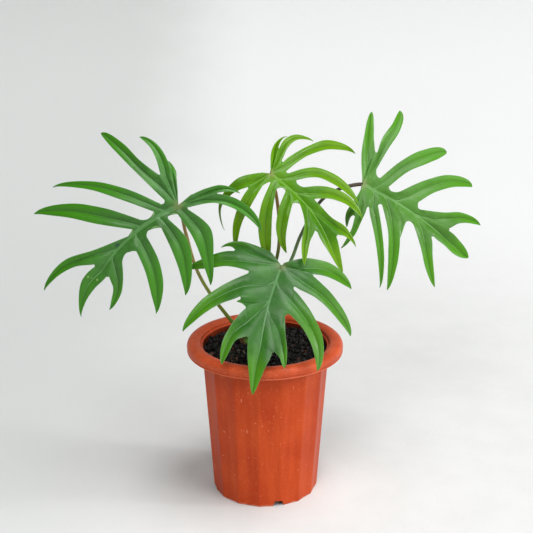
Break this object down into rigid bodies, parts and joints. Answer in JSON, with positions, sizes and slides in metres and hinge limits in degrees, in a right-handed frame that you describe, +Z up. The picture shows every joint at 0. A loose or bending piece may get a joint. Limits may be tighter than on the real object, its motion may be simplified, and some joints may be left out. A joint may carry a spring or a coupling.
{
  "type": "potted climbing philodendron with deeply lobed leaves",
  "caption": "Young philodendron with deeply cut, drooping, many-lobed leaves on long slender stalks, growing from soil in a round terracotta-coloured plastic nursery pot.",
  "frame": {"origin": "centre of the flat underside of the pot, on the surface that the pot stands on", "axes": "+Z up along the pot's axis, +X to the plant's right seen from its front, -Y towards the front, where the lowest leaf hangs over the rim"},
  "size_m": [0.4438, 0.2121, 0.369],
  "materials": {
    "pot_plastic": "satin",
    "potting_mix": "matte",
    "stem_green": "satin",
    "petiole_olive": "satin",
    "petiole_dark": "satin",
    "petiole_green": "satin",
    "leaf_medium": "satin",
    "leaf_yellow_green": "satin",
    "leaf_fresh": "satin",
    "leaf_deep": "satin"
  },
  "bodies": {
    "root": {"pot": "pot_plastic", "soil": "potting_mix", "stem": "stem_green", "petiole_left": "petiole_olive", "petiole_middle": "petiole_olive", "petiole_right": "petiole_dark", "petiole_front": "petiole_green", "leaf_left": "leaf_medium", "leaf_middle": "leaf_yellow_green", "leaf_right": "leaf_fresh", "leaf_front": "leaf_deep"}
  },
  "joints": []
}
